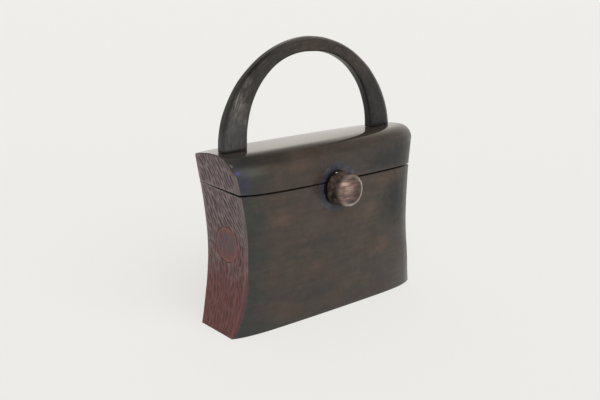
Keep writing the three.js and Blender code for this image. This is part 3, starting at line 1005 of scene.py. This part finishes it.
# Worn places on the handle: place, radius, squeeze and strength
handleMarks = {
    "pale": (
        ((-74, -2, 177), 15, (1.4, 0.4, 0.75), 1.0),
        ((-66, -2, 192), 9, (1.2, 0.4, 1.1), 0.75),
    ),
    "grey": (((-78, -2, 152), 26, (1.0, 0.4, 0.7), 0.95),),
    "dark": (((77, -2, 164), 34, (1.0, 0.4, 0.7), 0.6),),
    "brown": (
        ((0, -3, 218), 26, (0.7, 0.4, 1.6), 0.6),
        ((46, -3, 203), 20, (0.8, 0.4, 1.0), 0.45),
        ((-67, -3, 166), 14, (2.0, 0.4, 0.7), 0.6),
    ),
}


# Runs the grain along the arch: angle as a length, radius and depth take the place of X, Y and Z
def archPlace(tree, place):
    axes = axesOf(tree, place)
    rise = mathNode(tree, "SUBTRACT", axes["Z"], handle["grainCentre"] * mm)
    along = times(tree, mathNode(tree, "ARCTAN2", rise, axes["X"]), handle["grainRadius"] * mm)
    squares = mathNode(tree, "ADD", times(tree, rise, rise), times(tree, axes["X"], axes["X"]))
    radius = mathNode(tree, "SQRT", squares)
    return addNode(tree, "ShaderNodeCombineXYZ", X=along, Y=radius, Z=axes["Y"]).outputs[0]


def makeHandleWood():
    material, tree, shader, place = startMaterial("charcoal_handle_wood", 0.3, 0.3)
    along = archPlace(tree, place)
    grain = useGroup(tree, grainGroup, Point=along, Stretch=(34, 620, 620))
    cloud = useGroup(tree, wearGroup, Point=along, Stretch=(45, 150, 150), Start=0.36, Full=0.68)["Mask"]
    colour = mixColour(tree, grain["Streaks"], rgb(0.009, 0.0082, 0.0074), rgb(0.033, 0.029, 0.0255))
    mottle = useGroup(tree, wearGroup, Point=along, Stretch=(120, 360, 360), Start=0.36, Full=0.66)["Mask"]
    colour = mixColour(tree, times(tree, cloud, 0.3), colour, rgb(0.034, 0.028, 0.0235))
    colour = addPatches(tree, place, colour, rgb(0.045, 0.03, 0.022), handleMarks["brown"], 0.9)
    colour = addPatches(tree, place, colour, rgb(0.054, 0.0515, 0.0495), handleMarks["grey"], 0.9)
    colour = addPatches(tree, place, colour, rgb(0.011, 0.0105, 0.01), handleMarks["dark"], 0.9)
    scuff = useGroup(tree, wearGroup, Point=along, Stretch=(170, 900, 900), Start=0.42, Full=0.6)["Mask"]
    worn = addPatches(tree, place, rgb(0, 0, 0), rgb(1, 1, 1), handleMarks["pale"], 1.0)
    worn = addNode(tree, "ShaderNodeRGBToBW", Color=worn).outputs[0]
    bare = times(tree, worn, ramp(tree, scuff, 0, 1, 0.25, 0.95))
    colour = mixColour(tree, bare, colour, rgb(0.122, 0.111, 0.1))
    # the outer side is painted darker on the left leg as painted shade, and painted lighter elsewhere as a
    # painted rim light
    share, foot = attribute(tree, "across"), attribute(tree, "foot")
    across = axesOf(tree, place)["X"]
    leftLeg = times(tree, ramp(tree, across, -0.02, -0.055), ramp(tree, foot, 9, 19, 0.2, 0.7))
    outside = times(tree, ramp(tree, share, 0.13, 0.07), leftLeg)
    colour = mixColour(tree, outside, colour, rgb(0.006, 0.0056, 0.0052))
    rim = times(tree, ramp(tree, share, 0.2, 0.06), ramp(tree, across, -0.05, 0.0), 0.5)
    colour = mixColour(tree, rim, colour, rgb(0.13, 0.12, 0.11))
    colour = shaded(tree, colour, ramp(tree, mottle, 0, 1, 0.78, 1.2))
    # painted contact shadow under the feet, where they stand on the lid
    grimeAndContactShade = times(tree, ramp(tree, foot, 2.6, 0.8), 0.92)
    colour = mixColour(tree, grimeAndContactShade, colour, rgb(0.003, 0.003, 0.003))
    tree.links.new(colour, shader.inputs["Base Color"])
    satin = ramp(tree, grain["Streaks"], 0.3, 0.7, 0.27, 0.38)
    tree.links.new(mathNode(tree, "ADD", satin, times(tree, worn, 0.12)), shader.inputs["Roughness"])
    bump(tree, shader, mathNode(tree, "ADD", grain["Streaks"], times(tree, scuff, worn)), 0.16, 0.25)
    return material


# Places on the knob: rubbed patches with a painted highlight, red stains, a painted glint on the back rim
# and grimy dark patches: place, radius, squeeze and strength
knobMarks = {
    "worn_and_highlight": (
        ((-4.5, -49, 107.5), 8.0, (0.9, 0, 0.9), 0.6),
        ((-8.0, -49, 113.6), 4.0, (0.75, 0, 1.6), 1.0),
    ),
    "red": (
        ((3, -49, 109), 6, (0.8, 0, 1.2), 0.3),
        ((-2, -49, 100.5), 6, (0.6, 0, 1.6), 0.2),
    ),
    "painted_glint": (((-4.8, -35.4, 120.3), 1.2, (1, 0.8, 0.7), 1.0),),
    "dark": (
        ((7.0, -49, 102.5), 8.5, (1, 0, 1.1), 0.85),
        ((8.5, -49, 110), 6.5, (1.2, 0, 0.9), 0.6),
        ((-2, -49, 98.4), 8, (0.7, 0, 2), 0.75),
        ((3, -49, 117), 7, (0.7, 0, 1.8), 0.65),
        ((-8, -49, 119), 8, (0.8, 0, 1.4), 0.8),
    ),
}


def makeKnobWood():
    material, tree, shader, place = startMaterial("worn_knob_wood", 0.35, 0.35)
    axes = axesOf(tree, place)
    centre = Vector((0, 0, knob["z"])) * mm
    grain = useGroup(tree, grainGroup, Point=place, Stretch=(75, 200, 760))
    brushed = useGroup(tree, wearGroup, Point=place, Stretch=(90, 60, 900), Start=0.45, Full=0.56)["Mask"]
    facing = ramp(tree, axes["Y"], (knob["faceY"] + 2.6) * mm, (knob["faceY"] + 0.7) * mm)
    side = mixColour(tree, grain["Streaks"], rgb(0.014, 0.0105, 0.0085), rgb(0.088, 0.062, 0.049))
    face = ramp(tree, grain["Streaks"], 0.3, 0.7)
    face = mixColour(tree, face, rgb(0.014, 0.0075, 0.006), rgb(0.098, 0.054, 0.043))
    face = mixColour(tree, times(tree, brushed, 0.7), face, rgb(0.205, 0.132, 0.109))
    face = addPatches(tree, place, face, rgb(0.17, 0.07, 0.054), knobMarks["red"], 0.9)
    # a worn pale patch and, above it at the upper left, a painted highlight
    face = addPatches(tree, place, face, rgb(0.4, 0.275, 0.228), knobMarks["worn_and_highlight"], 0.9)
    face = addPatches(tree, place, face, rgb(0.036, 0.0255, 0.02), knobMarks["dark"], 0.9)
    face = shaded(tree, face, ramp(tree, grain["Streaks"], 0.38, 0.62, 0.55, 1.1))
    # blotchy grime darkens and lightens the knob's side
    grimeAndContactShade = useGroup(tree, wearGroup, Point=place, Stretch=(140, 140, 140), Start=0.38, Full=0.64)["Mask"]
    side = shaded(tree, side, ramp(tree, grimeAndContactShade, 0, 1, 0.35, 1.5))
    colour = mixColour(tree, facing, side, face)
    far = useGroup(tree, spotGroup, Point=place, Centre=centre, Squeeze=(1, 0, 1),
                   Ragged=0.8 * mm)["Distance"]
    # the rim is worn pale and painted as a highlight, most of all at the lower right
    edge = times(tree, ramp(tree, far, 0.0094, 0.0118), ramp(tree, axes["Y"], -0.0438, -0.0456))
    rise = mathNode(tree, "SUBTRACT", axes["Z"], centre.z)
    lean = mathNode(tree, "SUBTRACT", axes["X"], times(tree, rise, 0.7))
    edge = times(tree, edge, ramp(tree, lean, -0.006, 0.008, 0.18, 1.0))
    colour = mixColour(tree, edge, colour, rgb(0.31, 0.25, 0.215))
    # a painted glint on the back rim's upper left
    colour = addPatches(tree, place, colour, rgb(0.6, 0.53, 0.46), knobMarks["painted_glint"])
    tree.links.new(colour, shader.inputs["Base Color"])
    tree.links.new(ramp(tree, brushed, 0, 1, 0.32, 0.45), shader.inputs["Roughness"])
    bump(tree, shader, grain["Streaks"], 0.15, 0.25)
    return material


def makePlugWood():
    material, tree, shader, place = startMaterial("red_plug_wood", 0.5, 0.3)
    axes = axesOf(tree, place)
    grain = useGroup(tree, grainGroup, Point=place, Stretch=(200, 420, 110))
    cloud = useGroup(tree, wearGroup, Point=place, Stretch=(60, 150, 150), Start=0.35, Full=0.7)["Mask"]
    far = useGroup(tree, spotGroup, Point=place, Centre=Vector((0, plug["y"], plug["z"])) * mm,
                   Squeeze=(0, 1, 1), Ragged=2.2 * mm)["Distance"]
    rise = mathNode(tree, "SUBTRACT", axes["Z"], plug["z"] * mm)
    colour = mixColour(tree, grain["Streaks"], rgb(0.036, 0.024, 0.028), rgb(0.15, 0.102, 0.108))
    colour = mixColour(tree, times(tree, cloud, 0.6), colour, rgb(0.11, 0.041, 0.046))
    colour = mixColour(tree, ramp(tree, rise, 0.0, -0.009, 0, 0.75), colour, rgb(0.125, 0.047, 0.044))
    tall = mathNode(tree, "ABSOLUTE", rise)
    rim = times(tree, ramp(tree, far, 0.0076, 0.0124), ramp(tree, tall, 0.002, 0.01, 0.3, 1.0))
    rim = times(tree, rim, ramp(tree, cloud, 0, 1, 0.5, 1.0))
    colour = mixColour(tree, rim, colour, rgb(0.155, 0.054, 0.045))
    outline = times(tree, ramp(tree, far, 0.0112, 0.0132), ramp(tree, cloud, 0, 1, 0.55, 0.9))
    colour = mixColour(tree, outline, colour, rgb(0.185, 0.075, 0.066))
    tree.links.new(colour, shader.inputs["Base Color"])
    bump(tree, shader, grain["Streaks"], 0.25, 0.3)
    return material


def makeAgedBrass():
    material, tree, shader, place = startMaterial("aged_brass", 0.35)
    shader.inputs["Metallic"].default_value = 1.0
    wear = useGroup(tree, wearGroup, Point=place, Stretch=(300, 300, 300), Start=0.4, Full=0.65)
    brush = useGroup(tree, grainGroup, Point=place, Stretch=(120, 2600, 2600))
    colour = mixColour(tree, wear["Mask"], rgb(0.24, 0.16, 0.07), rgb(0.55, 0.4, 0.19))
    brushed = ramp(tree, brush["Streaks"], 0.35, 0.7, 0, 0.4)
    colour = mixColour(tree, brushed, colour, rgb(0.36, 0.25, 0.11))
    tree.links.new(colour, shader.inputs["Base Color"])
    tree.links.new(ramp(tree, wear["Mask"], 0.0, 1.0, 0.5, 0.3), shader.inputs["Roughness"])
    bump(tree, shader, brush["Streaks"], 0.1, 0.1)
    return material


polishedWood = makePolishedWood()
carvedWood = makeCarvedWood()
insideWood = makeInsideWood()
handleWood = makeHandleWood()
knobWood = makeKnobWood()
plugWood = makePlugWood()
agedBrass = makeAgedBrass()
print("finishes made")


# Body and lid, from one form that is parted at the seam

bagShape = makeBagForm()
paint(bagShape, polishedWood)
print("form drawn")

body = copyOf(bagShape, "hollow_body")
splitAtSeam(body, seam["rimTilt"], -seam["gap"] / 2, True)
cutAway(body, hollowCutter(hollow["floor"], bagForm["shoulderHeight"], hollow["floor"], insideWood))
cutAway(body, dishCutter(polishedWood))
knobHole = cylinderAlongY("knob_hole", knob["holeRadius"], 0, knob["holeY"], knob["z"], knob["holeLength"])
paint(knobHole, insideWood)
cutAway(body, knobHole)
pocketMiddle = bagForm["waistHalfWidth"] - plug["depth"] - plug["gap"] + plug["pocket"] / 2
for side in (-1, 1):
    pocket = cylinderAlongX("plug_pocket", plug["radius"] + plug["gap"], side * pocketMiddle, plug["pocket"],
                            plug["y"], plug["z"], 96)
    paint(pocket, carvedWood)
    cutAway(body, pocket)
cutAway(body, *hingeSeats(-1, seam["rimTilt"], insideWood))
carveEnds(body, carving["bodyHeights"], carvedWood)
noteCarving(body)
smoothOver(body, 38)
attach(body, "body")
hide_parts("body_box")
print("body:", len(body.data.polygons), "faces")

lid = copyOf(bagShape, "domed_lid")
splitAtSeam(lid, seam["lidTilt"], seam["gap"] / 2, False)
cutAway(lid, hollowCutter(hollow["lidStart"], hollow["lidTop"], hollow["lidTop"], insideWood))
cutAway(lid, dishCutter(polishedWood))
cutAway(lid, *hingeSeats(1, seam["lidTilt"], insideWood))
cutAway(lid, *[handleTenon(side, handle["gap"], insideWood) for side in (-1, 1)])
carveEnds(lid, carving["lidHeights"], carvedWood)
noteCarving(lid)
smoothOver(lid, 38)
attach(lid, "lid")
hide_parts("lid")
print("lid:", len(lid.data.polygons), "faces")


# The handle's arch, from its right foot to its left one
def archPoint(curve, angle):
    c, s = math.cos(angle), max(math.sin(angle), 0)
    full = 2 / curve["power"]
    x = math.copysign(curve["halfWidth"] * abs(c) ** full, c)
    z = handle["spring"] - handle["lean"] * c + curve["rise"] * s ** full
    return Vector((x, handle["y"], z))


# How far the chamfered section reaches from the handle's middle to its skin, as a share of its half size
def sectionReach(turn):
    across, deep = abs(math.cos(turn)), abs(math.sin(turn))
    chamfer = handle["outerChamfer"] if math.cos(turn) > 0 else handle["innerChamfer"]
    crisp = handle["crisp"]
    return (across ** crisp + deep ** crisp + ((across + deep) / chamfer) ** crisp) ** (-1 / crisp)


def handleRing(angle, drop=0):
    outer, inner = archPoint(handle["outer"], angle), archPoint(handle["inner"], angle)
    middle, across = (outer + inner) / 2, (outer - inner) / 2
    ring = []
    for k in range(handle["sides"]):
        turn = 2 * math.pi * (k + 0.5) / handle["sides"]
        point = middle + across * sectionReach(turn) * math.cos(turn)
        point.y += handle["depth"] / 2 * sectionReach(turn) * math.sin(turn)
        point.z -= drop
        ring.append(point + noise.noise_vector(point / 15) * handle["wobble"])
    return ring


# Keeps on each vertex its share of the way from the outer to the inner curve and its height over the lid
def noteAcross(piece):
    angles = [math.pi * k / 240 for k in range(241)]
    curves = [[archPoint(handle[name], angle) for angle in angles] for name in ("outer", "inner")]
    notes = {"across": [], "foot": []}
    for vertex in piece.data.vertices:
        x, y, z = vertex.co / mm
        outer, inner = (min(math.hypot(x - spot.x, z - spot.z) for spot in curve) for curve in curves)
        notes["across"].append(outer / max(outer + inner, 0.01))
        notes["foot"].append(min(max(z - topAt("crown", x), 0), 20))
    keepNotes(piece, notes)


rings = [handleRing(0, handle["foot"])]
rings += [handleRing(math.pi * k / handle["steps"]) for k in range(handle["steps"] + 1)]
rings += [handleRing(math.pi, handle["foot"])]
arch = loftSections("arched_handle", rings)
paint(arch, handleWood)
raised = copyOf(bagShape, "raised_form")
placeVertices(raised, lambda spot: spot + Vector((0, 0, handle["gap"])))
paint(raised, handleWood)
cutAway(arch, raised)
fuse(arch, *[handleTenon(side, 0, handleWood) for side in (-1, 1)])
noteAcross(arch)
smoothOver(arch, 50)
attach(arch, "lid")
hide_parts("handle")
print("handle:", len(arch.data.polygons), "faces")


# Knob on its post
def makeKnob():
    face, back = knob["faceY"], knob["faceY"] + knob["length"]
    foremost, hindmost = face + knob["faceRound"], back - knob["backRound"]
    rows = [(0, knob["postEnd"]), (knob["postRadius"], knob["postEnd"]), (knob["postRadius"], back)]
    rows += [(knob["radius"] * share, back) for share in (0.4, 0.65)]
    rows += quarterTurn(knob["backRadius"], hindmost, knob["backRound"], -math.pi / 2)
    for k in range(1, 8):
        rows.append((mix(knob["backRadius"], knob["radius"], k / 8), mix(hindmost, foremost, k / 8)))
    rows += quarterTurn(knob["radius"], foremost, knob["faceRound"], 0, 8)
    flat = knob["radius"] - knob["faceRound"]
    rows += [(flat * (1 - k / 8), face - knob["crown"] * (1 - (1 - k / 8) ** 2)) for k in range(1, 9)]
    piece = turnProfile("turned_knob", rows, knob["z"], knob["steps"])

    def place(spot):
        far = Vector((spot.x, 0, spot.z - knob["z"])).length
        if far < knob["postRadius"] + 0.5:
            return spot
        turn = math.atan2(spot.z - knob["z"], spot.x)
        step = 2 * math.pi / knob["facets"]
        turn += knob["facetShift"] * math.sin(3 * turn + 1)  # facets of uneven width
        off = (turn / step) % 1 - 0.5
        cut = knob["facetCut"] * (1 - 4 * off ** 2) * smoothStep(0.6, 1, far / knob["radius"])
        inward = Vector((-spot.x, 0, knob["z"] - spot.z)) / far
        return spot + inward * cut + noise.noise_vector(spot / 9) * knob["wobble"]

    placeVertices(piece, place)
    return piece


turnedKnob = makeKnob()
paint(turnedKnob, knobWood)
smoothOver(turnedKnob, 50)
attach(turnedKnob, "body")
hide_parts("knob")
print("knob:", len(turnedKnob.data.polygons), "faces")


# Plugs let into the waist of each end
def plugFace(side, y, z):
    room = plug["radius"] - math.hypot(y - plug["y"], z - plug["z"])
    return plug["carved"] * stroke(side * 2, y, z) + roundedOff(room, plug["edgeRound"])


plugMiddle = bagForm["waistHalfWidth"] - plug["depth"] + plug["stock"] / 2
cutY = plug["y"] - drift(plug["z"])
cutSpan = (cutY - plug["cutHalfWidth"], cutY + plug["cutHalfWidth"])
cutHeights = (plug["z"] - plug["cutHalfHeight"], plug["z"] + plug["cutHalfHeight"])
for side, name in ((-1, "left"), (1, "right")):
    disc = cylinderAlongX("round_plug_" + name, plug["radius"], side * plugMiddle, plug["stock"],
                          plug["y"], plug["z"], 96)
    paint(disc, plugWood)
    cutter = endCutter("plug_cutter", side, cutSpan, cutHeights, plugFace,
                       carving["columnStep"], plug["rowStep"], plugWood)
    cutAway(disc, cutter)
    smoothOver(disc, 38)
    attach(disc, "body")
    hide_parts("end_plug_" + name)
print("plugs set")


# Butt hinges with screwed leaves
def hingeLeaf(name, face, ownKnuckles, otherKnuckles, length):
    leaf = leafBlock(name, face, 0)
    roomRadius, roomLength = hinge["knuckle"] + hinge["fit"], length + 2 * hinge["fit"]
    for x in otherKnuckles:
        cutAway(leaf, cylinderAlongX("room", roomRadius, x, roomLength, 0, 0, 40))
    knuckles = [cylinderAlongX("knuckle", hinge["knuckle"], x, length, 0, 0, 40) for x in ownKnuckles]
    fuse(leaf, *knuckles)
    cutAway(leaf, cylinderAlongX("pin_bore", hinge["pin"] + hinge["fit"], 0, hinge["length"] * 2, 0, 0, 32))
    softenEdges(leaf, hinge["bevel"], 2)
    return leaf


def hingeScrew(name, x, face):
    y, top = hinge["screwY"], face * seam["gap"] / 2
    clearSelection()
    bpy.ops.mesh.primitive_cylinder_add(vertices=32, radius=hinge["screwRadius"] * mm,
                                        depth=hinge["screwHeight"] * mm,
                                        location=Vector((x, y, top + face * hinge["screwSink"])) * mm)
    head = newest(name)
    softenEdges(head, hinge["screwBevel"], 2)
    half, reach, deep = hinge["slot"] / 2, hinge["slotReach"], hinge["slotDepth"]
    cutAway(head, block("slot_cut", (x - reach, y - half, top - deep), (x + reach, y + half, top + deep)))
    return head


knuckleLength = (hinge["length"] - 2 * hinge["fit"]) / 3
outerKnuckles = [-knuckleLength - hinge["fit"], knuckleLength + hinge["fit"]]
leaves = (
    ("body", -1, seam["rimTilt"], outerKnuckles, [0]),
    ("lid", 1, seam["lidTilt"], [0], outerKnuckles),
)
for side, name in ((-1, "left"), (1, "right")):
    for part, face, tilt, own, other in leaves:
        leaf = hingeLeaf(f"brass_leaf_{name}_{part}", face, own, other, knuckleLength)
        heads = [hingeScrew("screw", x, face) for x in (-hinge["screwX"], hinge["screwX"])]
        only(leaf)
        for head in heads:
            head.select_set(True)
        bpy.ops.object.join()
        turnedToSeam(leaf, side, tilt)
        paint(leaf, agedBrass)
        smoothOver(leaf, 35)
        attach(leaf, part)
        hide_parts(f"hinge_{name}_{part}_leaf")
    pin = cylinderAlongX("brass_pin_" + name, hinge["pin"], 0, hinge["length"], 0, 0, 32)
    softenEdges(pin, hinge["pinBevel"], 3)
    turnedToSeam(pin, side, 0)
    paint(pin, agedBrass)
    smoothOver(pin, 35)
    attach(pin, "body")
    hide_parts(f"hinge_{name}_pin")
discard(bagShape)
print("hinges set")


# Pale floor, soft light and the camera
stage = {
    "floorSize": 40.0, "floorColour": (0.22, 0.2175, 0.211, 1.0), "floorGlow": (0.62, 0.613, 0.595, 1.0),
    "skyColour": (1.0, 0.985, 0.965, 1.0), "mirroredColour": (1.0, 0.935, 0.87, 1.0),
    "skyLight": 0.33, "skySeen": 0.865, "wallMirrored": 0.9, "ceilingMirrored": 0.32,
    "suns": (("front_light", (-0.16, -0.72, 0.7), 2.85, 70), ("back_light", (0.3, 0.6, 0.9), 0.25, 70)),
    "cameraSpot": (-0.42313, -0.49121, 0.26524), "cameraAzimuth": -39.86, "cameraElevation": 15.17,
    "lens": 48.0, "sensor": 36.0,
}


def makeFloor():
    clearSelection()
    bpy.ops.mesh.primitive_plane_add(size=stage["floorSize"])
    floor = newest("pale_floor")
    material, _, shader, _ = startMaterial("pale_paper", 0.9, 0.1)
    shader.inputs["Base Color"].default_value = stage["floorColour"]
    shader.inputs["Emission Color"].default_value = stage["floorGlow"]
    shader.inputs["Emission Strength"].default_value = 1.0
    paint(floor, material)


# The room is brighter in reflections than as light, so that the floor keeps no dark ring round the bag
def makeSky():
    world = bpy.data.worlds.new("soft_studio")
    world.use_nodes = True
    bpy.context.scene.world = world
    tree = world.node_tree
    ground = tree.nodes["Background"]
    path = addNode(tree, "ShaderNodeLightPath").outputs
    mirrored, seen = path["Is Glossy Ray"], path["Is Camera Ray"]
    tint = mixColour(tree, mirrored, stage["skyColour"], stage["mirroredColour"])
    tree.links.new(tint, ground.inputs["Color"])
    height = axesOf(tree, addNode(tree, "ShaderNodeTexCoord").outputs["Generated"])["Z"]
    room = ramp(tree, height, 0.3, 0.9, stage["wallMirrored"], stage["ceilingMirrored"])
    light = times(tree, mathNode(tree, "SUBTRACT", 1.0, mirrored), stage["skyLight"])
    light = mathNode(tree, "ADD", light, times(tree, seen, stage["skySeen"] - stage["skyLight"]))
    tree.links.new(mathNode(tree, "MULTIPLY_ADD", mirrored, room, light), ground.inputs["Strength"])


def makeSuns():
    for name, towards, strength, spread in stage["suns"]:
        bpy.ops.object.light_add(type="SUN", rotation=Vector(towards).to_track_quat("Z", "Y").to_euler())
        sun = bpy.context.object
        sun.name = name
        sun.data.energy = strength
        sun.data.angle = math.radians(spread)
        sun.visible_glossy = False


def makeCamera():
    turn = math.radians(stage["cameraAzimuth"])
    tip = math.radians(90 - stage["cameraElevation"])
    bpy.ops.object.camera_add(location=stage["cameraSpot"], rotation=(tip, 0, turn))
    camera = bpy.context.object
    camera.data.lens = stage["lens"]
    camera.data.sensor_width = stage["sensor"]
    bpy.context.scene.camera = camera


makeFloor()
makeSky()
makeSuns()
makeCamera()
bpy.context.scene.view_settings.view_transform = "Standard"
print("stage set")
